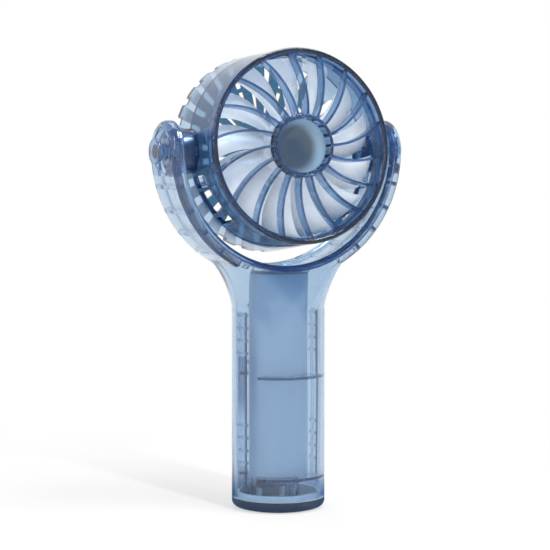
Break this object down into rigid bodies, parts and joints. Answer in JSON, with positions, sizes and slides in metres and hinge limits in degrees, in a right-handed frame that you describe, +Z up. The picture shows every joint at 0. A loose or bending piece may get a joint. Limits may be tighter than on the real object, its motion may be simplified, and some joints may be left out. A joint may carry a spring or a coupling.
{
  "type": "handheld fan",
  "caption": "Battery handheld fan with a round handle, a fork that carries a tilting drum head, a swirl rib grille, a spinning impeller and a sprung power button.",
  "frame": {"origin": "centre of the flat underside of the base", "axes": "+Z up along the handle, -Y to the side that the grille faces, +X along the tilt axis"},
  "size_m": [0.116, 0.0471, 0.1966],
  "materials": {
    "clear_blue": "clear gloss",
    "dark_blue": "gloss",
    "black_rubber": "matt",
    "steel": "brushed",
    "core_blue": "satin",
    "cell_wrap": "film wrapped",
    "board": "solder mask",
    "black_plastic": "matt",
    "white_plastic": "matt",
    "lens": "clear",
    "lead": "matt sheath",
    "smoke": "gloss",
    "brass": "turned",
    "pearl": "pearl gloss"
  },
  "bodies": {
    "handle": {"front_shell": "clear_blue", "rear_shell": "clear_blue", "base_cap": "dark_blue", "foot_pad": "black_rubber", "base_screws": "steel", "battery_sleeve": "core_blue", "sleeve_plug": "core_blue", "battery_cell": "cell_wrap", "battery_contacts": "steel", "control_board": "board", "button_switch": "black_plastic", "status_led": "white_plastic", "status_lens": "lens", "usb_board": "board", "usb_socket": "steel", "pivot_pin_left": "clear_blue", "pivot_pin_right": "clear_blue", "thrust_washer_left": "white_plastic", "thrust_washer_right": "white_plastic", "motor_lead_lower": "lead"},
    "button": {"power_button": "dark_blue"},
    "head": {"front_grille": "clear_blue", "hub_cap": "smoke", "drum": "clear_blue", "rear_guard": "clear_blue", "friction_bush_left": "white_plastic", "friction_bush_right": "white_plastic", "motor_can": "steel", "motor_end_bell": "black_plastic", "motor_bearing": "brass", "motor_terminals": "brass", "motor_screws": "steel", "motor_lead_upper": "lead"},
    "rotor": {"motor_shaft": "steel", "impeller": "pearl", "impeller_insert": "brass"}
  },
  "joints": [
    {"name": "head_tilt", "type": "hinge", "parent": "handle", "child": "head", "pos_m": [0, 0, 0.1533], "axis": [-1, 0, 0], "range_deg": [-95, 84]},
    {"name": "fan_spin", "type": "hinge", "parent": "head", "child": "rotor", "pos_m": [0, 0, 0.1533], "axis": [0, -0.9946, 0.1033], "continuous": true},
    {"name": "button_press", "type": "slide", "parent": "handle", "child": "button", "axis": [0, -1, 0], "range_m": [0, 0.0005], "stiffness_N_per_m": 2000}
  ]
}
